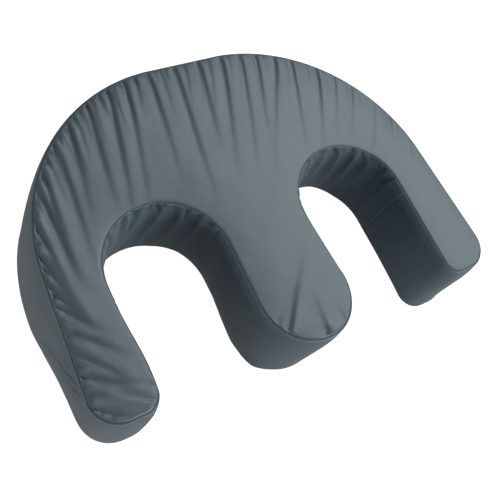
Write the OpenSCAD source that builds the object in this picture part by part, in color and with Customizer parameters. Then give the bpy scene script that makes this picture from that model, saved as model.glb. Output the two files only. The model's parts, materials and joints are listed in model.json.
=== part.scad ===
// Face cradle cushion: a boxed foam cushion with two legs, a centre tongue and two U notches.
// Origin: centre of the footprint on the underside. +X across the legs, +Z up, the legs and the
// tongue point along -Y. All sizes in millimetres.

/* [Cushion] */
// Width over the two legs
cushion_w = 480; // [440:5:520]
// Depth from the back to the tip of the tongue
cushion_d = 336; // [325:1:360]
// Height over the top and bottom panels
cushion_h = 100; // [80:5:120]
// Radius of the two rear shoulders
shoulder_r = 196; // [185:1:205]
// Radius of the round end of the tongue
tongue_r = 55; // [48:1:58]
// Radius of the rounded head of each notch
notch_r = 60; // [55:1:62]
// Length of each notch, from the end of the leg to its rounded head
notch_len = 183; // [170:1:190]
// Width of each leg
leg_w = 68; // [64:1:76]
// How far the leg ends stand back from the tip of the tongue
leg_setback = 3; // [0:1:8]
// Corner radius on the outside of a leg end
outer_corner_r = 34; // [24:1:36]
// Corner radius on the inside of a leg end
inner_corner_r = 20; // [12:1:26]

/* [Cover] */
// Thickness of the coated cover cloth
cloth_t = 1; // [0.6:0.1:1.5]
// Depth of the seam allowance turned in behind the boxing
seam_turn = 10; // [6:1:14]
// Thickness of the sewing thread
thread_t = 0.5; // [0.3:0.1:0.6]
// Length of one stitch beside the zip
stitch_len = 3.2; // [2.5:0.1:4]
// Distance from one of those stitches to the next
stitch_pitch = 4; // [3.5:0.1:6]

/* [Zip] */
// Angle on the shoulder of the slider when the zip is closed
closed_angle = 12; // [11:1:14]
// Travel of the slider round the shoulder, in degrees
travel_angle = 72; // [60:1:72]
// Height of the slot between the two zip strips
slot_h = 12; // [11.5:0.5:16]
// Width of each half of the zip tape behind its strip
tape_w = 14; // [12:1:18]
// Thickness of the zip tape
tape_t = 0.8; // [0.6:0.1:0.8]
// Distance from one tooth to the next along a row
tooth_pitch = 2.6; // [2.4:0.1:4]
// Length of the pull tab beyond its pin
pull_len = 24; // [16:1:24]

/* [Hidden] */
$fn = 96;
chord_error = 0.08;

cloth_colour = [0.42, 0.47, 0.51];
boxing_colour = [0.34, 0.39, 0.42];
thread_colour = [0.24, 0.28, 0.31];
zip_colour = [0.13, 0.15, 0.17];
metal_colour = [0.62, 0.63, 0.65];
foam_colour = [0.93, 0.88, 0.72];

// Outline: each half is a chain of arcs and the straight lines tangent to them
back_half = 36;
join_below = 16;
leg_x = cushion_w / 2 - leg_w;
leg_end_y = -cushion_d / 2 + leg_setback;
shoulder_c = [back_half, cushion_d / 2 - shoulder_r];
outer_c = [cushion_w / 2 - outer_corner_r, leg_end_y + outer_corner_r];
inner_c = [leg_x + inner_corner_r, leg_end_y + inner_corner_r];
notch_c = [leg_x - notch_r, leg_end_y + notch_len - notch_r];
tongue_c = [0, -cushion_d / 2 + tongue_r];
join_y = notch_c.y - join_below;

function at(c, r, a) = [c.x + r * cos(a), c.y + r * sin(a)];
function heading(p, q) = atan2(q.y - p.y, q.x - p.x);
function reversed(points) = [for (i = [len(points) - 1:-1:0]) points[i]];
function mirrored(points) = [for (p = reversed(points)) [-p.x, p.y]];

// Direction of the normal shared by two tangent arcs
side_a = heading(shoulder_c, outer_c)
    + acos((shoulder_r - outer_corner_r) / norm(outer_c - shoulder_c));
tongue_a = heading(tongue_c, notch_c) - acos((notch_r + tongue_r) / norm(notch_c - tongue_c));

// Stack of layers behind the outside of the boxing, each measured inwards from it
seam_clear = 0.1;
lip_in = cloth_t + seam_clear;
lip_back = lip_in + cloth_t;
foam_in = lip_back + thread_t + 0.2;
tape_mid = cloth_t + tape_t / 2;

// Zip, in the slider's own frame: x outwards, y round the shoulder, z up
zip_z = cushion_h / 2;
tooth_t = 2.2;
tooth_w = 2.4;
tooth_len = 1.3;
row_gap = 0.75;
row_out = row_gap + tooth_w;
slider_len = 11;
slider_w = 10;
plate_t = 1.2;
slide_clear = 0.4;
flange_w = 1.5;
flange_clear = 0.3;
bridge_t = 0.7;
bridge_len = 2.5;
lug_r = 1.6;
lug_w = 2.4;
pin_r = 0.6;
bore_r = 0.65;
pull_w = 7;
pull_t = 1.2;
pull_hole_r = 1.6;
arm_t = 1;
arm_r = 1.5;
outer_plate_x = tooth_t / 2 - tape_mid + slide_clear;
inner_plate_x = -tooth_t / 2 - tape_mid - slide_clear - plate_t;
pin_x = outer_plate_x + plate_t + arm_r + 0.3;
stop_gap = 0.4;
stop_len = 2;
tail_len = 3;
stitch_edge = 3;
degree_len = shoulder_r * PI / 180;
slider_half_a = slider_len / 2 / degree_len;
stop_a = closed_angle - slider_half_a - stop_gap;
tail_a = closed_angle + travel_angle + slider_half_a + stop_gap;
tail_gap = tail_len / degree_len + stop_gap;
groove_in = -inner_plate_x + 0.5;

// Points round an arc, its radius grown by d. The step depends only on r, so that offset arcs match.
function arc(c, r, d, a0, a1) =
    let (n = ceil(abs(a1 - a0) / (2 * acos(1 - chord_error / r))))
    [for (i = [0:n]) at(c, r + d, a0 + (a1 - a0) * i / n)];

// Stretches of the right half, clockwise from the back and moved outwards by d
function shoulder_path(d) = arc(shoulder_c, shoulder_r, d, 90, side_a);
function leg_path(d) = concat(
    arc(outer_c, outer_corner_r, d, side_a, -90),
    arc(inner_c, inner_corner_r, d, -90, -180),
    [[leg_x - d, join_y]]);
function notch_path(d) = arc(notch_c, notch_r, -d, 0, 180 + tongue_a);
function tongue_path(d) = arc(tongue_c, tongue_r, d, tongue_a, -180 - tongue_a);

function outline(d) =
    let (right = concat(shoulder_path(d), leg_path(d), notch_path(d)))
    concat(right, tongue_path(d), mirrored(right));

// Lengths of boxing, each from one join to the next
function leg_strip(d) = concat([at(shoulder_c, shoulder_r + d, side_a)], leg_path(d));
function back_strip(d) =
    concat(mirrored(concat(shoulder_path(d), leg_path(d))), [at(shoulder_c, shoulder_r + d, 90)]);
function inner_strip(d) =
    let (right = concat([[leg_x - d, join_y]], notch_path(d)))
    concat(right, tongue_path(d), mirrored(right));

module both_sides() {
    children();
    mirror([1, 0, 0]) children();
}

// Plate with the cushion's outline moved outwards by d
module slab(d, z, h) {
    translate([0, 0, z]) linear_extrude(h) polygon(outline(d));
}

// Closed band between the outline moved by d0 and by d1
module ring(d0, d1, z, h) {
    translate([0, 0, z]) linear_extrude(h) difference() {
        polygon(outline(d1));
        polygon(outline(d0));
    }
}

// Upright wall along a strip, between its path moved by d0 and by d1
module wall(strip, d0, d1, z, h) {
    translate([0, 0, z]) linear_extrude(h) polygon(concat(strip(d1), reversed(strip(d0))));
}

// Upright wall round the shoulder as a true arc, from angle a0 to a1
module shoulder_wall(a0, a1, d0, d1, z, h) {
    translate([shoulder_c.x, shoulder_c.y, z]) rotate(a0) rotate_extrude(angle = a1 - a0)
        translate([shoulder_r + d0, 0]) square([d1 - d0, h]);
}

module foam_core() {
    groove_h = slot_h + 2;
    groove_end = 1.5;
    color(foam_colour) difference() {
        slab(-foam_in, cloth_t, cushion_h - 2 * cloth_t);
        shoulder_wall(side_a + groove_end, 90 - groove_end, -groove_in, 1, zip_z - groove_h / 2, groove_h);
    }
}

module top_panel() {
    color(cloth_colour) {
        slab(0, cushion_h - cloth_t, cloth_t);
        ring(-lip_back, -lip_in, cushion_h - cloth_t - seam_turn, seam_turn);
    }
}

module bottom_panel() {
    color(boxing_colour) {
        slab(0, 0, cloth_t);
        ring(-lip_back, -lip_in, cloth_t, seam_turn);
    }
}

module boxing(strip) {
    color(boxing_colour) wall(strip, -cloth_t, 0, cloth_t, cushion_h - 2 * cloth_t);
}

// What is above the middle of the zip, or its mirror image below
module zip_half(upper) {
    translate([0, 0, zip_z]) mirror([0, 0, upper ? 0 : 1]) children();
}

module zip_strip(upper) {
    h = cushion_h / 2 - cloth_t - slot_h / 2;
    color(boxing_colour) zip_half(upper) shoulder_wall(side_a, 90, -cloth_t, 0, slot_h / 2, h);
}

// Tape behind the strip, cut back for the teeth. Past the stops the two tapes meet.
module zip_tape(upper) {
    back = -cloth_t - tape_t;
    meet_gap = 0.3;
    color(zip_colour) zip_half(upper) difference() {
        shoulder_wall(side_a, 90, back, -cloth_t, meet_gap, row_out + tape_w - meet_gap);
        shoulder_wall(stop_a - stop_len / degree_len - stop_gap, tail_a + tail_gap, back - 1,
            -cloth_t + 1, -1, row_out + 1);
    }
}

// Block as thick as a tooth, from angle a over length l
module zip_block(a, l, z, h) {
    shoulder_wall(a, a + l / degree_len, -tape_mid - tooth_t / 2, -tape_mid + tooth_t / 2, z, h);
}

// The teeth of one row stand half a pitch on from those of the other
module zip_teeth(upper) {
    pitch_a = tooth_pitch / degree_len;
    first_a = stop_a + (upper ? 0.5 : 1) * pitch_a;
    color(zip_colour) zip_half(upper)
        for (a = [first_a:pitch_a:tail_a - pitch_a]) zip_block(a, tooth_len, row_gap, tooth_w);
}

module zip_top_stops() {
    color(metal_colour) for (upper = [true, false])
        zip_half(upper) zip_block(stop_a - stop_len / degree_len, stop_len, row_gap, tooth_w);
}

module zip_bottom_stop() {
    color(metal_colour) zip_block(tail_a, tail_len, zip_z - row_out, 2 * row_out);
}

// Carries the slider's own frame to the outside of the shoulder, with the zip closed
module at_slider() {
    translate([shoulder_c.x, shoulder_c.y, zip_z]) rotate(closed_angle)
        translate([shoulder_r, 0, 0]) children();
}

// Upright cylinder, centred on the middle of the zip and in line with the pull's pin
module pin_post(r, h) {
    translate([pin_x, 0, -h / 2]) cylinder(r = r, h = h);
}

// One plate of the slider, at x, with a flange along each edge from x0 to x1
module slider_plate(x, x0, x1) {
    flange_z = slider_w / 2 - flange_w;
    translate([x, -slider_len / 2, -slider_w / 2]) cube([plate_t, slider_len, slider_w]);
    for (z = [-slider_w / 2, flange_z])
        translate([x0, -slider_len / 2, z]) cube([x1 - x0, slider_len, flange_w]);
}

module zip_slider() {
    inner_face_x = inner_plate_x + plate_t;
    color(metal_colour) at_slider() difference() {
        union() {
            slider_plate(outer_plate_x, -cloth_t + flange_clear, outer_plate_x);
            slider_plate(inner_plate_x, inner_face_x, -cloth_t - tape_t - flange_clear);
            translate([inner_face_x, -slider_len / 2, -bridge_t / 2])
                cube([outer_plate_x - inner_face_x, bridge_len, bridge_t]);
            translate([outer_plate_x, -lug_r, -lug_w / 2])
                cube([pin_x - outer_plate_x, 2 * lug_r, lug_w]);
            pin_post(lug_r, lug_w);
        }
        pin_post(bore_r, lug_w + 1);
    }
}

// Flat round tab of radius r across the end of the pull
module pull_end(r, t) {
    translate([pin_x - t / 2, pull_len - pull_w / 2, 0]) rotate([0, 90, 0]) cylinder(r = r, h = t);
}

module zip_pull() {
    arm_z = lug_w / 2 + flange_clear;
    arm_len = lug_r + 1.2;
    tab_len = pull_len - pull_w / 2 - arm_len;
    color(metal_colour) at_slider() difference() {
        union() {
            pin_post(pin_r, 2 * (arm_z + arm_t));
            for (z = [arm_z, -arm_z - arm_t]) {
                translate([pin_x, 0, z]) cylinder(r = arm_r, h = arm_t);
                translate([pin_x - pull_t / 2, 0, z]) cube([pull_t, arm_len + 1, arm_t]);
            }
            translate([pin_x - pull_t / 2, arm_len, -pull_w / 2]) cube([pull_t, tab_len, pull_w]);
            pull_end(pull_w / 2, pull_t);
        }
        pull_end(pull_hole_r, 2 * pull_t);
    }
}

// Lockstitch thread behind the lip of a panel
module seam_thread(z) {
    color(thread_colour) ring(-lip_back - thread_t, -lip_back, z, thread_t);
}

// Threads of the upright seams that join the boxing strips, behind them
module boxing_join_threads() {
    seam_z = cloth_t + seam_turn;
    strip_z = slot_h / 2 + tape_w;
    thread_a = thread_t / degree_len;
    color(thread_colour) {
        both_sides() translate([leg_x + lip_in, join_y, seam_z])
            cube([thread_t, thread_t, cushion_h - 2 * seam_z]);
        for (upper = [true, false], a = [side_a, 90 - thread_a]) zip_half(upper)
            shoulder_wall(a, a + thread_a, -lip_in - thread_t, -lip_in, strip_z,
                cushion_h / 2 - seam_z - strip_z);
    }
}

// Row of topstitches that holds the tape behind its strip
module zip_stitches(upper) {
    pitch_a = stitch_pitch / degree_len;
    color(thread_colour) zip_half(upper)
        for (a = [side_a + pitch_a:pitch_a:tail_a - 2 * pitch_a])
            shoulder_wall(a, a + stitch_len / degree_len, 0, thread_t, slot_h / 2 + stitch_edge, thread_t);
}

foam_core();
top_panel();
bottom_panel();
boxing(function(d) inner_strip(d));  // inner_boxing
boxing(function(d) leg_strip(d));  // outer_boxing_right
boxing(function(d) back_strip(d));  // outer_boxing_left
zip_strip(true);  // zip_strip_upper
zip_strip(false);  // zip_strip_lower
zip_tape(true);  // zip_tape_upper
zip_tape(false);  // zip_tape_lower
zip_teeth(true);  // zip_teeth_upper
zip_teeth(false);  // zip_teeth_lower
zip_top_stops();
zip_bottom_stop();
zip_slider();
zip_pull();
seam_thread(cushion_h - cloth_t - 3 * thread_t);  // top_seam_thread
seam_thread(cloth_t + 2 * thread_t);  // bottom_seam_thread
boxing_join_threads();
zip_stitches(true);  // zip_stitches_upper
zip_stitches(false);  // zip_stitches_lower
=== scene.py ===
"""Face cradle cushion: the looks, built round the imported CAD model.

The cover is one closed mesh that follows the cushion's outline. Blender's cloth blows it up from
inside with its seams held, then folds, pleats and seams are laid on it, and it is cut along its
seams into the same panels and boxing strips as the CAD model. Lengths are millimetres until a mesh
is made. Lights and the floor are in metres.
"""
import json
import math

import bpy
import numpy as np
from mathutils import Matrix, Vector
from mathutils.geometry import delaunay_2d_cdt


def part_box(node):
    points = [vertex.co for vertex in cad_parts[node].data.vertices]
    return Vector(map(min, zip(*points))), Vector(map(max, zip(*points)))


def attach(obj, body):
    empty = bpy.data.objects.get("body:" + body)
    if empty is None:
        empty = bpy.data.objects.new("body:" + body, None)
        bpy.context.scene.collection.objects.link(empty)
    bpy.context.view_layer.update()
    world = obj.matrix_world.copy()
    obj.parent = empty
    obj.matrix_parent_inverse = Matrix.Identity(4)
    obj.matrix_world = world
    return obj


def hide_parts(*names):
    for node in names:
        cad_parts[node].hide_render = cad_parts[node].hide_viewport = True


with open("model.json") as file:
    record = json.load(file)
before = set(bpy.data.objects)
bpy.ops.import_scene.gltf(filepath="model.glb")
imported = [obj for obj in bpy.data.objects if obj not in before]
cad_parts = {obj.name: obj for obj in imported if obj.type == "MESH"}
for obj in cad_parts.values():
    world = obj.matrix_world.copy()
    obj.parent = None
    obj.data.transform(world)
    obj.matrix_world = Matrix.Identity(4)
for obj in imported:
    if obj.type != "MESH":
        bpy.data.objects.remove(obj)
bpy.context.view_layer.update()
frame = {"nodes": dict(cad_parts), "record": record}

MM = 0.001
LOW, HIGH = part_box("top_panel")
WIDTH = (HIGH.x - LOW.x) / MM
DEPTH = (HIGH.y - LOW.y) / MM
HEIGHT = HIGH.z / MM
MIDDLE_Z = HEIGHT / 2
RNG = np.random.default_rng(11)

# The outline's radii and lengths, as in the CAD model
SHOULDER_R, TONGUE_R, NOTCH_R, OUTER_R, INNER_R = 196, 55, 60, 34, 20
NOTCH_LEN, LEG_W, LEG_SETBACK, BACK_HALF, JOIN_BELOW = 183, 68, 3, 36, 16
SLOT_H = 12

# The cover's form
STEP = 3.2            # distance between mesh columns round the outline
TOP_SPACING = 3.5     # distance between mesh points inside the top panel
BASE_SPACING = 9.0
SEAM_IN = 5.0         # how far the top seam stands in from the widest part of the walls
SEAM_DROP = 2.5       # how far the seams stand below the top and above the underside
CROWN = 1.7           # rise of the top panel above its seam
CROWN_RUN = 12.0      # distance in which that rise happens
WALL_POWER = 3.0      # exponent of the walls' bulging profile
ROLL_IN = 1.5         # how far the walls roll over right below the top seam
ROLL_RUN = 1.2        # height in which they do so
CLOTH_T = 0.8
FOAM_DOWN = 7.0       # how far the foam's top stands below the cushion's
FOAM_IN = 9.0         # how far its sides stand in from the outline
FOAM_ROUND = 5.0      # radius of its edges
FOAM_STEP = 7.0       # distance between its mesh columns
FOAM_SPACING = 11.0   # distance between mesh points inside its top and underside
TOP_SEAM_Z = HEIGHT - SEAM_DROP

# The stitching behind the seams
STITCH = 3.2          # length of a stitch
THREAD_R = 0.25
STITCH_OFF = 3.2      # how far below the top seam or above the base seam it runs
STITCH_IN = 1.4       # how far inside these seams
JOIN_IN = 2.4         # how far inside the walls the upright joins are stitched
JOIN_END = 12         # distance from the top and the underside at which they end


# ---------------------------------------------------------------- outline

def polar(c, r, degrees):
    """Point or points at distance r from c."""
    a = np.radians(degrees)
    return np.stack([c[0] + r * np.cos(a), c[1] + r * np.sin(a)], -1)


def arc(c, r, a0, a1):
    """Part of the outline: its length, and a function from 0..1 to points and outward normals."""
    outward = -np.sign(a1 - a0)

    def at(t):
        a = a0 + (a1 - a0) * t
        return polar(c, r, a), outward * polar((0, 0), 1, a)
    return abs(math.radians(a1 - a0)) * r, at


def line(p, q):
    """A straight part of the outline, in the form that arc gives."""
    p, q = np.array(p, float), np.array(q, float)
    length = np.hypot(*(q - p))
    normal = np.array([p[1] - q[1], q[0] - p[0]]) / length

    def at(t):
        t = np.asarray(t)[:, None]
        return p + (q - p) * t, np.repeat(normal[None], len(t), 0)
    return length, at


def heading(p, q):
    """Direction from p to q in degrees."""
    return math.degrees(math.atan2(q[1] - p[1], q[0] - p[0]))


LEG_X = WIDTH / 2 - LEG_W
BACK_Y = DEPTH / 2
LEG_END_Y = -DEPTH / 2 + LEG_SETBACK
SHOULDER_C = (BACK_HALF, BACK_Y - SHOULDER_R)
OUTER_C = (WIDTH / 2 - OUTER_R, LEG_END_Y + OUTER_R)
INNER_C = (LEG_X + INNER_R, LEG_END_Y + INNER_R)
NOTCH_C = (LEG_X - NOTCH_R, LEG_END_Y + NOTCH_LEN - NOTCH_R)
TONGUE_C = (0, -DEPTH / 2 + TONGUE_R)
JOIN_Y = NOTCH_C[1] - JOIN_BELOW
SIDE_A = heading(SHOULDER_C, OUTER_C) + math.degrees(
    math.acos((SHOULDER_R - OUTER_R) / math.dist(OUTER_C, SHOULDER_C)))
TONGUE_A = heading(TONGUE_C, NOTCH_C) - math.degrees(
    math.acos((NOTCH_R + TONGUE_R) / math.dist(NOTCH_C, TONGUE_C)))


def right_half():
    """The outline clockwise from the middle of the back to the tip of the tongue, as pairs of
    the boxing piece and the stretch of outline."""
    return [
        ("back", line((0, BACK_Y), (BACK_HALF, BACK_Y))),
        ("zip", arc(SHOULDER_C, SHOULDER_R, 90, SIDE_A)),
        ("leg", line(polar(SHOULDER_C, SHOULDER_R, SIDE_A), polar(OUTER_C, OUTER_R, SIDE_A))),
        ("leg", arc(OUTER_C, OUTER_R, SIDE_A, -90)),
        ("leg", line((OUTER_C[0], LEG_END_Y), (INNER_C[0], LEG_END_Y))),
        ("leg", arc(INNER_C, INNER_R, -90, -180)),
        ("leg", line((LEG_X, INNER_C[1]), (LEG_X, JOIN_Y))),
        ("inner", line((LEG_X, JOIN_Y), (LEG_X, NOTCH_C[1]))),
        ("inner", arc(NOTCH_C, NOTCH_R, 0, 180 + TONGUE_A)),
        ("inner", line(polar(NOTCH_C, NOTCH_R, 180 + TONGUE_A), polar(TONGUE_C, TONGUE_R, TONGUE_A))),
        ("inner", arc(TONGUE_C, TONGUE_R, TONGUE_A, -90)),
    ]


class Outline:
    """Points round the whole outline, clockwise: p, outward normals n, distance s from the middle
    of the back, and the boxing piece that follows each point."""

    def __init__(self, step):
        points, normals, pieces = [], [], []
        for piece, (length, at) in right_half():
            n = max(1, round(length / step))
            p, out = at(np.arange(n) / n)
            points.append(p)
            normals.append(out)
            pieces += [piece] * n
        tip = np.array([[0, TONGUE_C[1] - TONGUE_R]])
        right_p, right_n = np.concatenate(points), np.concatenate(normals)
        flip = np.array([-1, 1])
        self.p = np.concatenate([right_p, tip, right_p[:0:-1] * flip])
        self.n = np.concatenate([right_n, [[0, -1]], right_n[:0:-1] * flip])
        left = ["inner" if piece == "inner" else "left" for piece in pieces[::-1]]
        self.piece = ["left" if piece == "back" else piece for piece in pieces] + left
        gaps = np.hypot(*(np.roll(self.p, -1, 0) - self.p).T)
        self.s = np.concatenate([[0], np.cumsum(gaps)[:-1]])
        self.length = gaps.sum()

    def __len__(self):
        return len(self.p)

    def moved(self, d):
        """The points moved outwards by d, a number or one for each point."""
        return self.p + self.n * np.asarray(d).reshape(-1, 1)


def smooth(x, low, high):
    """Rises softly from 0 at low to 1 at high."""
    t = np.clip((x - low) / (high - low), 0, 1)
    return t * t * (3 - 2 * t)


RULER = Outline(1.0)
CHUNK = 4000          # points that to_outline takes at once, to spare memory


def to_outline(x, y):
    """For points (x, y): the distance s along the outline, d outside it, and the unit normal."""
    nearest = np.empty(len(x), int)
    for i in range(0, len(x), CHUNK):
        part = slice(i, i + CHUNK)
        nearest[part] = np.argmin((x[part, None] - RULER.p[:, 0]) ** 2
                                  + (y[part, None] - RULER.p[:, 1]) ** 2, axis=1)
    n = RULER.n[nearest]
    off = np.stack([x, y], -1) - RULER.p[nearest]
    along = off[:, 0] * n[:, 1] - off[:, 1] * n[:, 0]
    return (RULER.s[nearest] + along) % RULER.length, (off * n).sum(1), n


# ---------------------------------------------------------------- base mesh of the cover

# Rings of points of the top and bottom panels, inwards from their seams
TOP_INSETS = (0, 0.8, 1.8, 3.2, 5.2, 7.8, 11.2)
BASE_INSETS = (0, 2.5, 6.0)
WALL_NEAR = (0, 0.7, 1.4, 2.1, 3.0, 4.6, 7.5)   # rows below the top seam and above the base seam
WALL_ROWS = 7                                   # rows from there to the zip slot
PANELS = ("top_panel", "bottom_panel", "inner_boxing", "outer_boxing_right", "outer_boxing_left",
          "zip_strip_upper", "zip_strip_lower", "slot")


def wall_levels():
    """Heights of the rings of wall points, from the top seam down to the base seam."""
    upper = [TOP_SEAM_Z - drop for drop in WALL_NEAR]
    upper += list(np.linspace(upper[-1], MIDDLE_Z + SLOT_H / 2, WALL_ROWS + 1)[1:])
    lower = [HEIGHT - z for z in reversed(upper)]
    return np.array(upper + [MIDDLE_Z + 2, MIDDLE_Z - 2] + lower)


def leftward(s):
    """Distance from the middle of the back, positive to the left and negative to the right."""
    return np.where(s > RULER.length / 2, RULER.length - s, -s)


# How far the foot of the walls stands in from the outline, by distance leftward
FOOT_AT = (-990, -960, -900, -760, -720, -690, -600, -560, -530, -500, -470, -430, 200, 260, 350, 400,
           700, 740, 770, 800, 860, 890, 925, 948, 968, 1000)
FOOT_IN = (0, 1.5, 1.5, 1.5, 4, 0, 0.5, -0.5, -2.5, -3, -1.5, 1.5, 1.5, -1, -1.5, 1.5,
           1.5, 0, 0, 4, 6, 4, 2.5, -2.5, -0.5, 0)


def foot_in(s):
    """How far the base seam stands in from the outline."""
    return np.interp(leftward(s), FOOT_AT, FOOT_IN)


def wall_offset(z, s):
    """Offset of the walls from the outline at height z: 0 in the middle, -SEAM_IN at the top seam
    and -foot_in at the base seam. Part of it is the roll of cloth right below the top seam."""
    u = np.clip(np.abs(z - MIDDLE_Z) / (TOP_SEAM_Z - MIDDLE_Z), 0, 1)
    roll = ROLL_IN * np.exp(-np.abs(TOP_SEAM_Z - z) / ROLL_RUN)
    return -np.where(z > MIDDLE_Z, SEAM_IN - ROLL_IN, foot_in(s)) * u ** WALL_POWER - roll


def top_seam_in(s):
    """How far the top seam stands in from the outline."""
    return np.full(len(s), SEAM_IN)


def top_height(inset):
    """Height of the top panel at a distance in from its seam."""
    return TOP_SEAM_Z + CROWN * (1 - np.exp(-inset / CROWN_RUN))


def base_height(inset):
    """Height of the bottom panel at a distance in from its seam."""
    return SEAM_DROP * np.exp(-inset / 2.5)


def fill(ring, spacing, inset):
    """Points and triangles inside a closed ring that stands in from the outline by inset, a number
    or a function of s. The ring's own points come first."""
    low, high = ring.min(0), ring.max(0)
    rows = np.arange(low[1], high[1], spacing * math.sqrt(0.75))
    grid = np.array([(x + (i % 2) * spacing / 2, y) for i, y in enumerate(rows)
                     for x in np.arange(low[0], high[0], spacing)])
    grid += RNG.uniform(-0.12, 0.12, grid.shape) * spacing
    s, d, _ = to_outline(grid[:, 0], grid[:, 1])
    grid = grid[d < -0.6 * spacing - (inset(s) if callable(inset) else inset)]
    points = np.concatenate([ring, grid])
    border = list(range(len(ring)))[::-1]
    result = delaunay_2d_cdt([Vector(p) for p in points], [], [border], 1, 1e-5)
    names = [ids[0] for ids in result[3]]
    triangles = np.array([[names[i] for i in f] for f in result[2]])
    a, b, c = (points[triangles[:, i]] for i in range(3))
    turned = np.cross(b - a, c - a) < 0
    triangles[turned] = triangles[turned][:, ::-1]
    return grid, triangles


def strip_of(piece, level, levels):
    """Name of the panel that a wall face belongs to."""
    if piece != "zip":
        return {"inner": "inner_boxing", "leg": "outer_boxing_right", "left": "outer_boxing_left"}[piece]
    z = (levels[level] + levels[level + 1]) / 2
    if abs(z - MIDDLE_Z) < SLOT_H / 2:
        return "slot"
    return "zip_strip_upper" if z > MIDDLE_Z else "zip_strip_lower"


def ring_faces(a, b, n):
    """Quads between the ring of n vertices that starts at a and the one that starts at b."""
    i = np.arange(n)
    j = (i + 1) % n
    return np.stack([a + i, a + j, b + j, b + i], -1).tolist()


def cover_mesh(outline):
    """The closed cover, with a material index for each panel."""
    n = len(outline)
    levels = wall_levels()
    points, faces, panels = [], [], []

    def add_points(xy, z):
        start = sum(len(p) for p in points)
        points.append(np.column_stack([xy, np.broadcast_to(z, len(xy))]))
        return start

    def add_ring(d, z):
        return add_points(outline.moved(d), z)

    def add_faces(new, names):
        faces.extend(new)
        panels.extend(PANELS.index(name) for name in names)

    walls = [add_ring(wall_offset(z, outline.s), z) for z in levels]
    for level, (a, b) in enumerate(zip(walls, walls[1:])):
        add_faces(ring_faces(a, b, n), [strip_of(p, level, levels) for p in outline.piece])

    def add_panel(name, seam, seam_in, insets, height, spacing, up):
        rings = [seam] + [add_ring(-seam_in(outline.s) - inset, height(inset)) for inset in insets[1:]]
        for a, b in zip(rings, rings[1:]):
            new = ring_faces(a, b, n)
            add_faces([q[::-1] for q in new] if up else new, [name] * n)
        ring = outline.moved(-seam_in(outline.s) - insets[-1])
        inner, triangles = fill(ring, spacing, lambda s: seam_in(s) + insets[-1])
        s, d, _ = to_outline(inner[:, 0], inner[:, 1])
        start = add_points(inner, height(-seam_in(s) - d))
        ids = np.where(triangles < n, triangles + rings[-1], triangles - n + start)
        ids = ids if up else ids[:, ::-1]
        add_faces(ids.tolist(), [name] * len(ids))

    add_panel("top_panel", walls[0], top_seam_in, TOP_INSETS, top_height, TOP_SPACING, True)
    add_panel("bottom_panel", walls[-1], foot_in, BASE_INSETS, base_height, BASE_SPACING, False)
    mesh = bpy.data.meshes.new("cover")
    mesh.from_pydata((np.concatenate(points) * MM).tolist(), [], faces)
    mesh.polygons.foreach_set("material_index", panels)
    mesh.update()
    for side in (walls[0], walls[-1]):
        crease_ring(mesh, side, n)
    return mesh


def crease_ring(mesh, start, n):
    """Keeps a seam sharp under subdivision."""
    crease = mesh.attributes.get("crease_edge") or mesh.attributes.new("crease_edge", "FLOAT", "EDGE")
    ends = np.zeros(len(mesh.edges) * 2, int)
    mesh.edges.foreach_get("vertices", ends)
    on_ring = ((ends >= start) & (ends < start + n)).reshape(-1, 2).all(1)
    values = np.zeros(len(mesh.edges), np.float32)
    crease.data.foreach_get("value", values)
    values[on_ring] = 1
    crease.data.foreach_set("value", values)


def coords(mesh):
    """The mesh's points in mm."""
    co = np.zeros(len(mesh.vertices) * 3)
    mesh.vertices.foreach_get("co", co)
    return co.reshape(-1, 3) / MM


def set_coords(mesh, co):
    """Moves the mesh's points to places in mm."""
    mesh.vertices.foreach_set("co", (co * MM).ravel())
    mesh.update()


# ---------------------------------------------------------------- cloth simulation

PRESSURE = 4
SWELL_MAX = 2.0       # the farthest that the simulation may move a point
FRAMES = 20
HELD_BY_ZIP = 12      # how far above and below the zip's slot the cloth is held
FLUSH_BY_ZIP = 20     # half the height of the band along the zip that stays free of creases
WEIGHT_STEPS = 20


def weight_group(obj, name, weights):
    """A vertex group with weights from 0 to 1 in even steps."""
    group = obj.vertex_groups.new(name=name)
    for step in range(1, WEIGHT_STEPS + 1):
        members = np.nonzero(np.round(weights * WEIGHT_STEPS) == step)[0]
        group.add(members.tolist(), step / WEIGHT_STEPS, "REPLACE")
    return group.name


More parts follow.
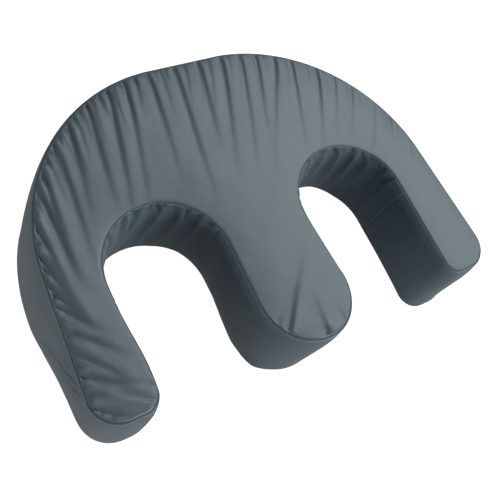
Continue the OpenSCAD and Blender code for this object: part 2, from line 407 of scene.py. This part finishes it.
def simulate(cover):
    """Blows the cover up from inside. Seams, underside and zip are held, and the cloth of the
    puckered side is cut a little larger than its place, so that it gathers."""
    co = coords(cover.data)
    s, d, _ = to_outline(co[:, 0], co[:, 1])
    z = co[:, 2]
    seam = np.abs(np.abs(z - MIDDLE_Z) - (TOP_SEAM_Z - MIDDLE_Z)) < 0.2
    by_zip = on_zip(s) & (np.abs(z - MIDDLE_Z) < SLOT_H / 2 + HELD_BY_ZIP) & (d > -SEAM_IN)
    held = (z < SEAM_DROP + 0.2) | (seam & (d > -SEAM_IN - 0.2)) | by_zip
    settings = cover.modifiers.new("cloth", "CLOTH").settings
    settings.quality = 4
    settings.mass = 0.2
    settings.tension_stiffness = settings.compression_stiffness = 12
    settings.shear_stiffness = 6
    settings.bending_stiffness = 0.3
    settings.use_pressure = True
    settings.uniform_pressure_force = PRESSURE
    settings.effector_weights.gravity = 0
    settings.vertex_group_mass = weight_group(cover, "held", held.astype(float))
    settings.vertex_group_shrink = weight_group(cover, "gathered", gather(s))
    settings.shrink_min, settings.shrink_max = 0.0, -0.045
    collision = cover.modifiers["cloth"].collision_settings
    collision.use_collision = collision.use_self_collision = False
    cover.modifiers["cloth"].point_cache.frame_end = FRAMES
    scene = bpy.context.scene
    for number in range(1, FRAMES + 1):
        scene.frame_set(number)
    shaped = cover.evaluated_get(bpy.context.evaluated_depsgraph_get())
    move = coords(shaped.data) - co
    far = np.linalg.norm(move, axis=1)
    move *= (SWELL_MAX * np.tanh(far / SWELL_MAX) / np.maximum(far, 1e-6))[:, None]
    cover.modifiers.clear()
    scene.frame_set(1)
    set_coords(cover.data, co + move)


def on_zip(s):
    """True where the outline runs along the zip strips or within 6 mm of them."""
    return (s > BACK_HALF - 6) & (s < BACK_HALF + math.radians(90 - SIDE_A) * SHOULDER_R + 6)


def gather(s):
    """How much the cloth is gathered at each place of the outline, from 0 to 1."""
    places = (-700, -420, -330, -60, 60, 150, 420, 520, 560, 700, 900)
    amount = (0.3, 0.1, 0.25, 0.35, 0.7, 1.0, 1.0, 0.9, 0.4, 0.3, 0.3)
    return np.interp(leftward(s), places, amount)


def evaluated_mesh(obj):
    """A new mesh from a curve, or from an object with its modifiers."""
    return bpy.data.meshes.new_from_object(obj.evaluated_get(bpy.context.evaluated_depsgraph_get()))


def subdivide(obj):
    """Gives the object a mesh that is twice as fine."""
    modifier = obj.modifiers.new("fine", "SUBSURF")
    modifier.levels = modifier.render_levels = 1
    mesh = evaluated_mesh(obj)
    obj.modifiers.clear()
    obj.data = mesh


# ---------------------------------------------------------------- folds of the top panel

SHARPNESS = 2.6       # how sudden the step between the valley and the ridge of a fold is


def fold(x, y, place, direction, length, widths, depth, hook=0.0, bend=0.0):
    """Height at (x, y) of one fold: a valley with a ridge beside it that starts at place, gets
    wider along its direction and fades out. hook bends its first centimetre, bend the rest."""
    ux, uy = math.cos(math.radians(direction)), math.sin(math.radians(direction))
    rx, ry = x - place[0], y - place[1]
    along = rx * ux + ry * uy
    t = np.clip(along / length, 0, 1)
    across = ry * ux - rx * uy + hook * np.exp(-along / 6) + bend * t * t * length
    c = across / (widths[0] + (widths[1] - widths[0]) * t ** 0.8)
    rise = smooth(along, -1.5, 2.5) * (1 - t * t) * np.exp(-0.6 * t)
    flank = np.where(c > 0, 1.8, 1.0)
    return depth * rise * np.tanh(SHARPNESS * c) * np.exp(-0.5 * (c / flank) ** 2)


def seam_place(s):
    """Point of the top seam at distance s along the outline, and the direction straight in."""
    i = int(round((s % RULER.length) / RULER.length * len(RULER))) % len(RULER)
    normal = RULER.n[i]
    return RULER.p[i] - SEAM_IN * normal, math.degrees(math.atan2(-normal[1], -normal[0]))


# Along the outer seam, leftward from the middle of the back: where folds point (degrees from +X),
# how long the main ones are and how deep
PLACES = (-330, -230, -150, -70, 0, 100, 200, 290, 345, 400, 470, 540)
POINTING = (-124, -124, -118, -112, -106, -100, -97, -84, -62, -45, -38, -34)
FOLD_LEN = (60, 110, 150, 160, 155, 145, 140, 115, 70, 66, 62, 50)
FOLD_DEPTH = (0.6, 0.8, 0.95, 1.0, 1.05, 1.25, 1.35, 1.35, 1.3, 1.3, 1.2, 1.0)
# Folds at the tip of the tongue: distance leftward from the tip, turn from straight in, length
# and depth
TONGUE_FOLDS = ((47, 8, 105, 1.2), (0, -9, 50, 0.8), (-4, -14, 14, 0.8), (60, 14, 26, 0.6),
                (-30, -30, 18, 0.6))
# Folds at the inner corner of the left leg's end: distance leftward, direction and length
LEG_END_FOLDS = ((548, 150, 34), (531, 146, 40))


def top_folds(x, y):
    """Height of all the folds of the top panel."""
    z = np.zeros(len(x))

    def along_seam(start, stop, gap, share_len, widths, share_depth, hook):
        nonlocal z
        left = start
        while left < stop:
            place, _ = seam_place(-left)
            pointing = np.interp(left, PLACES, POINTING) + RNG.uniform(-5, 5)
            length = np.interp(left, PLACES, FOLD_LEN) * share_len * RNG.uniform(0.75, 1.15)
            depth = np.interp(left, PLACES, FOLD_DEPTH) * share_depth * RNG.uniform(0.7, 1.2)
            bends = hook * RNG.uniform(0.5, 1.2), RNG.uniform(-0.06, 0.03)
            z += fold(x, y, place, pointing, length, widths, depth, *bends)
            left += gap * RNG.uniform(0.75, 1.25)

    along_seam(-300, 555, 27, 1.0, (2.6, 8.5), 1.0, 4.0)     # main folds
    along_seam(-320, 560, 14, 0.5, (2.3, 5.5), 0.45, 3.5)    # shorter ones between them
    along_seam(20, 560, 10, 0.17, (2.0, 3.2), 0.7, 2.0)      # hooks right at the seam
    for off_tip, turn, length, depth in TONGUE_FOLDS:
        place, inwards = seam_place(RULER.length / 2 + off_tip)
        z -= fold(x, y, place, inwards + turn, length, (3.0, 11.0), depth)
    for left, pointing, length in LEG_END_FOLDS:
        place, _ = seam_place(-left)
        z += fold(x, y, place, pointing, length, (2.2, 5.0), 0.75, 3.0)
    return z


def soft_waves(x, y):
    """Slow rise and fall of a panel that is laid over foam and never perfectly flat."""
    z = np.zeros(len(x))
    for wavelength, height in ((130, 0.25), (75, 0.16), (41, 0.08)):
        for _ in range(3):
            a, phase = RNG.uniform(0, 2 * math.pi, 2)
            along = x * math.cos(a) + y * math.sin(a)
            z += height * np.sin(along * 2 * math.pi / wavelength + phase) / 2
    return z


# ---------------------------------------------------------------- pleats and creases of the walls

def wall_pleats(s, z):
    """Outward movement of the walls: upright pleats that hang from the top seam in the notches,
    and puckers close under it."""
    out = np.zeros(len(s))
    below = TOP_SEAM_Z - z

    def pleat(centre, width, depth, reach, slant, begin):
        nonlocal out
        off = (s - centre + slant * below + RULER.length / 2) % RULER.length - RULER.length / 2
        c = np.abs(off) / (width * (1 + 0.5 * below / reach))
        fade = smooth(below, 0.3, begin) * (1 - smooth(below, 0.35 * reach, reach))
        out += depth * fade * np.exp(-0.8 * c ** 1.3)

    for side in (-1, 1):
        start = 0 if side > 0 else RULER.length
        # In the left notch the pleats start farther from the leg
        first = NOTCH_FROM + (16 if side > 0 else 48)
        along = first
        while along < NOTCH_TO:
            centre = start + side * along
            slant = side * RNG.uniform(0.0, 0.25)
            pleat(centre, RNG.uniform(2.4, 4.0), RNG.uniform(2.2, 3.6), RNG.uniform(70, 120), slant, 16)
            pleat(centre + RNG.uniform(6, 8), 4.0, -RNG.uniform(1.0, 2.0), RNG.uniform(50, 90), slant, 8)
            along += RNG.uniform(13, 22)
        along = first
        while along < NOTCH_TO + 10:
            pleat(start + side * along, RNG.uniform(1.4, 2.4), -RNG.uniform(1.6, 3.6),
                  RNG.uniform(8, 24), side * RNG.uniform(-0.4, 0.6), 3.0)
            along += RNG.uniform(4.5, 12)
    return out


NOTCH_HEAD = 8        # place of a notch's rounded head in right_half
HEAD_BEFORE = 10      # how far before that head the pleats may start
HEAD_SHORT = 25       # and how far before its end they stop


def notch_range():
    """Distances from the middle of the back between which the wall of a notch has pleats."""
    lengths = [length for _, (length, _) in right_half()]
    start = sum(lengths[:NOTCH_HEAD])
    return start - HEAD_BEFORE, start + lengths[NOTCH_HEAD] - HEAD_SHORT


NOTCH_FROM, NOTCH_TO = notch_range()


def long_creases(s, z):
    """The bulge of the left shoulder's wall, and the creases that rise from it along the leg."""
    left = leftward(s)
    out = 2.5 * smooth(left, 200, 290) * (1 - smooth(left, 340, 385)) * (1 - smooth(z, 40, 95))
    fade = smooth(left, 355, 385) * (1 - smooth(left, 430, 462)) * smooth(-z, -96, -84)
    for height, depth in ((24, 1.2), (35, 1.7), (46, 1.2)):
        c = (z - height - 0.85 * (left - 370)) / 2.8
        out += 1.6 * depth * fade * c * np.exp(-0.5 * c * c)
    return out


# How deep the crease of the top seam is, by distance leftward
CREASED_AT = (-990, -950, -850, -820, -530, -500, -460, -100, 0, 100, 500, 545, 660, 700, 1000)
CREASED = (1.0, 0.5, 0.3, 1.0, 1.0, 0.8, 0.3, 0.3, 0.5, 1.0, 1.0, 0.2, 0.3, 1.0, 1.0)


def seam_roll(distance):
    """Outward movement beside a seam: a crease in it and a ridge where the cloth is turned in."""
    return -1.0 * np.exp(-distance / 0.6) + 0.6 * np.exp(-((distance - 1.7) / 0.8) ** 2)


def join_crease(s):
    """The upright seams on the inner walls of the legs."""
    out = np.zeros(len(s))
    for centre in (NOTCH_FROM + HEAD_BEFORE - JOIN_BELOW,
                   RULER.length - NOTCH_FROM - HEAD_BEFORE + JOIN_BELOW):
        c = np.abs(s - centre)
        out += -1.0 * np.exp(-(c / 1.3) ** 2) + 0.35 * np.exp(-((c - 3.2) / 1.6) ** 2)
    return out


def lay_details(mesh):
    """Folds, pleats, seams and the slight lean of the real cushion."""
    co = coords(mesh)
    x, y, z = co.T
    s, d, n = to_outline(x, y)
    top = np.zeros(len(co), bool)
    wall = np.zeros(len(co), bool)
    for polygon in mesh.polygons:
        panel = PANELS[polygon.material_index]
        if panel == "top_panel":
            top[list(polygon.vertices)] = True
        elif panel != "bottom_panel":
            wall[list(polygon.vertices)] = True
    inset = -SEAM_IN - d
    crease = np.interp(leftward(s), CREASED_AT, CREASED)
    lift = top_folds(x, y) * smooth(inset, 0, 3.5) + soft_waves(x, y) * smooth(inset, 5, 40)
    lift += -0.9 * crease * np.exp(-np.abs(inset) / 0.7)
    z = np.where(top, z + lift, z)
    flush = on_zip(s) & (np.abs(co[:, 2] - MIDDLE_Z) < FLUSH_BY_ZIP)
    out = wall_pleats(s, z) + long_creases(s, z) + crease * seam_roll(TOP_SEAM_Z - co[:, 2]) \
        + seam_roll(co[:, 2] - SEAM_DROP) + join_crease(s) * smooth(TOP_SEAM_Z - co[:, 2], 0, 6)
    out *= smooth(co[:, 2], SEAM_DROP, SEAM_DROP + 6) * np.where(flush, 0, 1)
    out = np.where(wall, out, 0)
    x = x + n[:, 0] * out
    y = y + n[:, 1] * out
    set_coords(mesh, lean(np.stack([x, y, z], -1)))


def lean(co):
    """The tongue bends slightly to the right, the left leg draws in towards its foot, and the upper
    edge of the leg's inner side stands out over the notch."""
    x, y, z = co.T
    tongue = smooth(-np.abs(x), -80, -62) * smooth(-y, 0, 40)
    x = x + (3.0 + 2.5 * z / HEIGHT) * tongue * (y / 165) ** 2
    y = y - 2.5 * z / HEIGHT * tongue * smooth(-y, 110, 165)
    leg = smooth(-x, 150, 215) * smooth(-y, 30, 145) * (1 - np.clip(z / HEIGHT, 0, 1)) ** 1.3
    x = x + 9.0 * leg
    inner_edge = smooth(x, -185, -172) * smooth(-x, 120, 150) * smooth(-y, 60, 120) \
        * (1 - 0.8 * smooth(-y, 130, 158))
    x = x + 4.5 * inner_edge * smooth(z, 60, 100)
    return np.stack([x, y, z], -1)


# ---------------------------------------------------------------- pieces

def new_object(name, data):
    """An object with this data, in the scene."""
    obj = bpy.data.objects.new(name, data)
    bpy.context.scene.collection.objects.link(obj)
    return obj


def cut_piece(cover, index, name):
    """One panel of the cover as a closed shell of cloth."""
    mesh = cover.data
    chosen = [p for p in mesh.polygons if p.material_index == index]
    used = sorted({v for p in chosen for v in p.vertices})
    new_index = {v: i for i, v in enumerate(used)}
    points = [mesh.vertices[v].co for v in used]
    part = bpy.data.meshes.new(name)
    part.from_pydata(points, [], [[new_index[v] for v in p.vertices] for p in chosen])
    obj = new_object(name, part)
    shell = obj.modifiers.new("cloth", "SOLIDIFY")
    shell.thickness = CLOTH_T * MM
    shell.offset = -1
    obj.data = evaluated_mesh(obj)
    obj.modifiers.clear()
    round_shading(obj.data)
    return obj


def round_shading(mesh):
    """Shades the faces as one smooth surface."""
    mesh.polygons.foreach_set("use_smooth", [True] * len(mesh.polygons))


def make_cover(materials):
    """The cover's panels and boxing strips, cut from one simulated form."""
    cover = new_object("cover_form", cover_mesh(Outline(STEP)))
    simulate(cover)
    subdivide(cover)
    lay_details(cover.data)
    slots = {"top_panel": "top_cloth", "bottom_panel": "base_cloth"}
    for index, node in enumerate(PANELS[:-1]):
        piece = cut_piece(cover, index, "cover_" + node)
        slot = slots.get(node, "boxing_cloth")
        finish_piece(piece, materials[slot], slot, node)
    bpy.data.objects.remove(cover)


def finish_piece(piece, material, slot, *nodes):
    """Dresses a piece in its material, puts it on the cushion's body and hides the CAD nodes that it
    replaces.
    """
    piece.data.materials.clear()
    piece.data.materials.append(material)
    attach(piece, "cushion")
    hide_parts(*nodes)


def make_foam(materials):
    """The foam block, a little smaller than the cover all round, with rounded edges."""
    outline = Outline(FOAM_STEP)
    n = len(outline)
    upper = [(FOAM_IN + FOAM_ROUND * (1 - math.cos(a)),
              HEIGHT - FOAM_DOWN - FOAM_ROUND * (1 - math.sin(a))) for a in np.radians((90, 60, 30, 0))]
    rows = upper + [(FOAM_IN, MIDDLE_Z)] + [(inset, HEIGHT - z) for inset, z in reversed(upper)]
    points = [np.column_stack([outline.moved(-d), np.full(n, z)]) for d, z in rows]
    faces = []
    for row in range(len(rows) - 1):
        faces += ring_faces(row * n, (row + 1) * n, n)
    for row, up in ((0, True), (len(rows) - 1, False)):
        ring = points[row][:, :2]
        inner, triangles = fill(ring, FOAM_SPACING, rows[row][0])
        start = sum(len(p) for p in points)
        points.append(np.column_stack([inner, np.full(len(inner), rows[row][1])]))
        ids = np.where(triangles < n, triangles + row * n, triangles - n + start)
        faces += (ids if up else ids[:, ::-1]).tolist()
    mesh = bpy.data.meshes.new("foam")
    mesh.from_pydata((lean(np.concatenate(points)) * MM).tolist(), [], faces)
    foam = new_object("foam_block", mesh)
    round_shading(mesh)
    finish_piece(foam, materials["foam"], "foam", "foam_core")


def thread_tube(name, path, radius, closed):
    """A round thread along a path of points."""
    curve = bpy.data.curves.new(name, "CURVE")
    curve.dimensions = "3D"
    spline = curve.splines.new("POLY")
    spline.points.add(len(path) - 1)
    spline.points.foreach_set("co", np.column_stack([path * MM, np.ones(len(path))]).ravel())
    spline.use_cyclic_u = closed
    curve.bevel_depth = radius * MM
    curve.bevel_resolution = 1
    curve.use_fill_caps = not closed
    temporary = new_object(name + "_path", curve)
    mesh = evaluated_mesh(temporary)
    bpy.data.objects.remove(temporary)
    return new_object(name, mesh)


def dips(along, depth):
    """How far a thread stands out at distances along it: it dips into the cloth once a stitch."""
    return depth * np.cos(along / STITCH * 2 * math.pi)


def make_threads(materials):
    """Lockstitch behind the two panel seams and the upright joins."""
    outline = Outline(STITCH / 4)
    for node, z, seam_in in (("top_seam_thread", TOP_SEAM_Z - STITCH_OFF, top_seam_in),
                             ("bottom_seam_thread", SEAM_DROP + STITCH_OFF, foot_in)):
        away = -seam_in(outline.s) - STITCH_IN + dips(outline.s, 0.25)
        path = np.column_stack([outline.moved(away), np.full(len(outline), z)])
        finish_piece(thread_tube("stitching_" + node, lean(path), THREAD_R, True),
                     materials["thread"], "thread", node)
    z = np.arange(JOIN_END, HEIGHT - JOIN_END, STITCH / 4)
    inwards = JOIN_IN - wall_offset(z, np.full(len(z), NOTCH_FROM)) + dips(z, 0.2)
    tubes = []
    for side in (1, -1):
        path = np.column_stack([side * (LEG_X + inwards), np.full(len(z), JOIN_Y), z])
        tubes.append(thread_tube("stitching_join", lean(path), THREAD_R, False))
    with bpy.context.temp_override(active_object=tubes[0], selected_editable_objects=tubes):
        bpy.ops.object.join()
    finish_piece(tubes[0], materials["thread"], "thread", "boxing_join_threads")


# ---------------------------------------------------------------- materials

class Nodes:
    """Short way to make and link shader nodes."""

    def __init__(self, name, roughness, specular=0.5, metallic=0.0):
        self.material = bpy.data.materials.new(name)
        self.material.use_nodes = True
        self.tree = self.material.node_tree
        self.shader = self.tree.nodes["Principled BSDF"]
        self.shader.inputs["Roughness"].default_value = roughness
        self.shader.inputs["Specular IOR Level"].default_value = specular
        self.shader.inputs["Metallic"].default_value = metallic
        self.place = self.tree.nodes.new("ShaderNodeTexCoord").outputs["Object"]

    def add(self, kind, **values):
        """A node with some of its settings or inputs given by name."""
        node = self.tree.nodes.new("ShaderNode" + kind)
        for name, value in values.items():
            socket = name.replace("_", " ").capitalize()
            if hasattr(node, name):
                setattr(node, name, value)
            elif isinstance(value, bpy.types.NodeSocket):
                self.tree.links.new(value, node.inputs[socket])
            else:
                node.inputs[socket].default_value = value
        return node

    def link(self, output, socket):
        """Feeds an input of the shader."""
        self.tree.links.new(output, self.shader.inputs[socket])

    def noise(self, scale, detail=3.0, stretch=None):
        """Noise from 0 to 1, higher scales being finer."""
        vector = self.place
        if stretch:
            mapping = self.add("Mapping", vector=vector)
            mapping.inputs["Scale"].default_value = stretch
            vector = mapping.outputs["Vector"]
        return self.add("TexNoise", vector=vector, scale=scale, detail=detail).outputs["Fac"]

    def wave(self, direction, scale, distortion):
        """Light and dark bands that follow each other in a direction."""
        return self.add("TexWave", vector=self.place, bands_direction=direction, scale=scale,
                        distortion=distortion).outputs["Fac"]

    def ramp(self, factor, *stops):
        """A colour from (position, colour) stops."""
        node = self.add("ValToRGB")
        self.tree.links.new(factor, node.inputs["Fac"])
        elements = node.color_ramp.elements
        while len(elements) < len(stops):
            elements.new(0.5)
        for element, (position, colour) in zip(elements, stops):
            element.position = position
            element.color = (*colour, 1)
        return node.outputs["Color"]

    def mix(self, factor, a, b, blend="MIX"):
        """Colours a and b mixed, each a colour or another node's output."""
        node = self.tree.nodes.new("ShaderNodeMix")
        node.data_type, node.blend_type = "RGBA", blend
        for socket, value in ((node.inputs[0], factor), (node.inputs[6], a), (node.inputs[7], b)):
            if isinstance(value, bpy.types.NodeSocket):
                self.tree.links.new(value, socket)
            else:
                socket.default_value = value if isinstance(value, float) else (*value, 1)
        return node.outputs[2]

    def math(self, operation, a, b=0.0):
        """The result of an operation on numbers or other nodes' outputs."""
        node = self.tree.nodes.new("ShaderNodeMath")
        node.operation = operation
        for socket, value in zip(node.inputs, (a, b)):
            if isinstance(value, bpy.types.NodeSocket):
                self.tree.links.new(value, socket)
            else:
                socket.default_value = value
        return node.outputs[0]

    def span(self, factor, low, high):
        """The factor, 0 to 1, brought between low and high."""
        node = self.add("MapRange")
        self.tree.links.new(factor, node.inputs["Value"])
        node.inputs["To Min"].default_value = low
        node.inputs["To Max"].default_value = high
        return node.outputs["Result"]

    def shades(self, value, *stops):
        """A grey from (value, grey) stops in rising order."""
        low, high = stops[0][0], stops[-1][0]
        node = self.add("MapRange")
        self.tree.links.new(value, node.inputs["Value"])
        node.inputs["From Min"].default_value = low
        node.inputs["From Max"].default_value = high
        return self.ramp(node.outputs["Result"],
                         *(((v - low) / (high - low), (grey,) * 3) for v, grey in stops))

    def bump(self, *heights):
        """Bumps from (height, distance in mm) pairs, each laid over the one before."""
        normal = None
        for height, distance in heights:
            node = self.tree.nodes.new("ShaderNodeBump")
            node.inputs["Distance"].default_value = distance * MM
            self.tree.links.new(height, node.inputs["Height"])
            if normal:
                self.tree.links.new(normal, node.inputs["Normal"])
            normal = node.outputs["Normal"]
        self.link(normal, "Normal")


def shade(colour, factor):
    """The colour made darker or lighter."""
    return tuple(c * factor for c in colour)


def coated_cloth(name, colour, roughness, specular, seam=()):
    """Wipe-clean polyurethane-coated cloth: a fine grain over a faint weave, with a satin sheen. Its
    colour holds painted shade, darker in concave folds, and painted highlight, lighter on ridges, by
    the mesh's pointiness; seam gives more painted shade and highlight as greys by the distance in mm
    from mid-height."""
    m = Nodes(name, roughness, specular)
    broad = m.noise(14, 3)
    fine = m.noise(260, 4)
    tint = m.ramp(broad, (0.3, shade(colour, 0.93)), (0.7, shade(colour, 1.06)))
    speck = m.ramp(fine, (0.35, (0.93, 0.94, 0.94)), (0.65, (1.05, 1.05, 1.06)))
    base = m.mix(1.0, tint, speck, "MULTIPLY")
    # Painted shade darkens concave folds and painted highlight lightens ridges, by the mesh's pointiness
    pointiness = m.tree.nodes.new("ShaderNodeNewGeometry").outputs["Pointiness"]
    fold_shade_and_highlight = m.shades(pointiness, (0.44, 0.6), (0.495, 1.0), (0.505, 1.0), (0.56, 1.3))
    base = m.mix(1.0, base, fold_shade_and_highlight, "MULTIPLY")
    # Painted shade in the seam's crease and painted highlight on the rolled ridge beside it, by height
    if seam:
        height = m.add("SeparateXYZ", vector=m.place).outputs["Z"]
        off_middle = m.math("ABSOLUTE", m.math("SUBTRACT", height, MIDDLE_Z * MM))
        base = m.mix(1.0, base, m.shades(m.math("DIVIDE", off_middle, MM), *seam), "MULTIPLY")
    m.link(base, "Base Color")
    grain = m.add("TexVoronoi", vector=m.place, scale=1150.0).outputs["Distance"]
    weave = m.math("MULTIPLY", m.wave("X", 260.0, 1.2), m.wave("Y", 260.0, 1.2))
    m.link(m.span(m.math("ADD", fine, m.math("MULTIPLY", broad, 0.6)), roughness - 0.08,
                  roughness + 0.10), "Roughness")
    m.bump((m.noise(45, 3), 0.5), (weave, 0.03), (grain, 0.05))
    m.shader.inputs["Sheen Weight"].default_value = 0.12
    m.shader.inputs["Sheen Roughness"].default_value = 0.4
    return m.material


def open_foam(name, colour):
    """Polyurethane foam: open cells and a slight yellowing."""
    m = Nodes(name, 0.95, specular=0.2)
    cells = m.add("TexVoronoi", vector=m.place, scale=900.0).outputs["Distance"]
    tint = m.ramp(m.noise(20), (0.35, shade(colour, 0.9)), (0.7, colour))
    m.link(m.mix(1.0, tint, m.ramp(cells, (0.0, (0.6, 0.58, 0.5)), (0.4, (1, 1, 1))), "MULTIPLY"),
           "Base Color")
    m.bump((cells, 0.4))
    return m.material


def woven_tape(name, colour):
    """Polyester zip tape: a herringbone of fine ribs."""
    m = Nodes(name, 0.8, specular=0.3)
    woven = m.math("MULTIPLY", m.wave("Z", 420.0, 0.5), m.wave("DIAGONAL", 330.0, 0.8))
    m.link(m.mix(woven, shade(colour, 0.7), shade(colour, 1.5)), "Base Color")
    m.link(m.span(m.noise(90), 0.7, 0.95), "Roughness")
    m.bump((woven, 0.12))
    return m.material


def moulded_teeth(name, colour):
    """Moulded acetal: smooth, with slight flow marks."""
    m = Nodes(name, 0.4)
    flow = m.noise(300, 3, (1, 1, 3))
    m.link(m.mix(flow, shade(colour, 0.8), shade(colour, 1.3)), "Base Color")
    m.link(m.span(flow, 0.32, 0.5), "Roughness")
    m.bump((flow, 0.04))
    return m.material


def painted_zinc(name, colour):
    """Satin-painted die-cast zinc, rubbed bright on its edges."""
    m = Nodes(name, 0.35, metallic=0.8)
    cast = m.noise(220, 4)
    bare = m.span(m.tree.nodes.new("ShaderNodeNewGeometry").outputs["Pointiness"], -4.0, 5.0)
    worn = m.math("MULTIPLY", m.math("MAXIMUM", bare, 0.0), cast)
    m.link(m.mix(worn, colour, (0.5, 0.5, 0.49)), "Base Color")
    m.link(m.span(cast, 0.25, 0.45), "Roughness")
    m.bump((cast, 0.05))
    return m.material


def spun_thread(name, colour):
    """Twisted polyester thread."""
    m = Nodes(name, 0.6)
    twist = m.wave("DIAGONAL", 700.0, 1.0)
    m.link(m.mix(twist, shade(colour, 0.7), shade(colour, 1.4)), "Base Color")
    m.link(m.span(m.noise(400), 0.5, 0.7), "Roughness")
    m.bump((twist, 0.08))
    return m.material


# Painted shade and highlight by the seams, as greys by distance in mm from mid-height: the top panel
# darkens where it dips into the top seam's crease, and the boxing darkens in the crease and lightens
# on the ridge of cloth rolled just beside it, by the top and the bottom seam alike
PANEL_SEAM_SHADE = ((46.0, 0.35), (46.8, 0.4), (47.15, 1.0), (60.0, 1.0))
BOXING_SEAM_SHADE_AND_HIGHLIGHT = ((45.0, 1.0), (45.6, 1.12), (46.2, 1.12), (46.6, 0.8), (46.9, 0.3), (48.0, 0.25))


def make_materials():
    """The materials by slot."""
    return {
        # top, boxing and base are one coated cloth: their different colours are painted light and shade,
        # the boxing's lighter and bluer than the top's and the base's between them
        "top_cloth": coated_cloth("top_cloth", (0.064, 0.091, 0.106), 0.35, 0.58, PANEL_SEAM_SHADE),
        "boxing_cloth": coated_cloth("boxing_cloth", (0.086, 0.122, 0.148), 0.38, 0.3, BOXING_SEAM_SHADE_AND_HIGHLIGHT),
        "base_cloth": coated_cloth("base_cloth", (0.072, 0.104, 0.128), 0.40, 0.4),
        "foam": open_foam("foam", (0.86, 0.80, 0.62)),
        "zip_tape": woven_tape("zip_tape", (0.03, 0.036, 0.042)),
        "zip_teeth": moulded_teeth("zip_teeth", (0.025, 0.03, 0.035)),
        "zip_metal": painted_zinc("zip_metal", (0.16, 0.17, 0.18)),
        "thread": spun_thread("thread", (0.05, 0.062, 0.072)),
    }


def dress_cad_nodes(materials):
    """The zip's CAD nodes stay, with materials of their own."""
    slots = {part["node"]: part["material_slot"] for part in frame["record"]["subparts"]}
    for name, obj in frame["nodes"].items():
        if not obj.hide_render:
            obj.data.materials.clear()
            obj.data.materials.append(materials[slots[name]])


# ---------------------------------------------------------------- stage

# The camera's place, and the directions that it looks along and holds upright
CAMERA_AT = (-376.0, -225.1, 735.2)
CAMERA_ALONG = (0.4638, 0.2272, -0.8563)
CAMERA_UP = (0.3079, 0.8650, 0.3963)
LENS, SENSOR = 54.5, 36
LIGHT_AWAY = 2.0      # metres from the cushion to each light
FLOOR_HALF = 20       # metres from the middle of the floor to its sides


def make_camera():
    """The photo's camera, as fitted to the seam line in the photo."""
    data = bpy.data.cameras.new("camera")
    data.lens, data.sensor_width = LENS, SENSOR
    data.clip_start = 0.01
    camera = new_object("camera", data)
    back = -Vector(CAMERA_ALONG).normalized()
    right = Vector(CAMERA_UP).cross(back).normalized()
    turn = Matrix((right, back.cross(right), back)).transposed()
    camera.matrix_world = Matrix.Translation(Vector(CAMERA_AT) * MM) @ turn.to_4x4()
    bpy.context.scene.camera = camera


def softbox(name, azimuth, elevation, size, radiance, colour, glints=True):
    """A rectangular light that faces the cushion. azimuth is from +X towards +Y, in degrees. Without
    glints it is not reflected."""
    data = bpy.data.lights.new(name, "AREA")
    data.shape = "RECTANGLE"
    data.size, data.size_y = size
    data.energy = radiance * math.pi * size[0] * size[1]
    data.color = colour
    light = new_object(name, data)
    a, e = math.radians(azimuth), math.radians(elevation)
    toward = Vector((math.cos(a) * math.cos(e), math.sin(a) * math.cos(e), math.sin(e)))
    light.location = toward * LIGHT_AWAY
    light.rotation_euler = (-toward).to_track_quat("-Z", "Y").to_euler()
    light.visible_glossy = glints


def make_floor():
    """A white floor that glows for the camera only, so that it puts no light into the notches."""
    corners = [(x * FLOOR_HALF, y * FLOOR_HALF, 0) for x, y in ((-1, -1), (1, -1), (1, 1), (-1, 1))]
    mesh = bpy.data.meshes.new("floor")
    mesh.from_pydata(corners, [], [(0, 1, 2, 3)])
    floor = new_object("floor", mesh)
    m = Nodes("floor", 0.9, specular=0.1)
    m.link(m.ramp(m.noise(3), (0.3, (0.34, 0.34, 0.34)), (0.7, (0.36, 0.36, 0.36))), "Base Color")
    m.shader.inputs["Emission Color"].default_value = (1, 1, 1, 1)
    m.shader.inputs["Emission Strength"].default_value = 1.0
    mesh.materials.append(m.material)
    floor.visible_diffuse = floor.visible_glossy = floor.visible_shadow = False


def make_lights():
    """Three softboxes and a dim world."""
    softbox("key", 10, 50, (2.2, 1.5), 3.4, (0.92, 1.0, 1.03))
    softbox("front", -66, 14, (1.4, 0.8), 6.6, (1.0, 1.02, 1.02))
    softbox("fill", 193, 4, (1.8, 0.35), 9.8, (1.2, 1.02, 0.92), glints=False)
    world = bpy.data.worlds.new("studio")
    world.use_nodes = True
    background = world.node_tree.nodes["Background"]
    background.inputs["Color"].default_value = (1, 1, 1, 1)
    background.inputs["Strength"].default_value = 0.2
    bpy.context.scene.world = world
    bpy.context.scene.view_settings.view_transform = "Standard"


def main():
    make_camera()
    make_floor()
    make_lights()
    materials = make_materials()
    make_cover(materials)
    make_foam(materials)
    make_threads(materials)
    dress_cad_nodes(materials)


main()
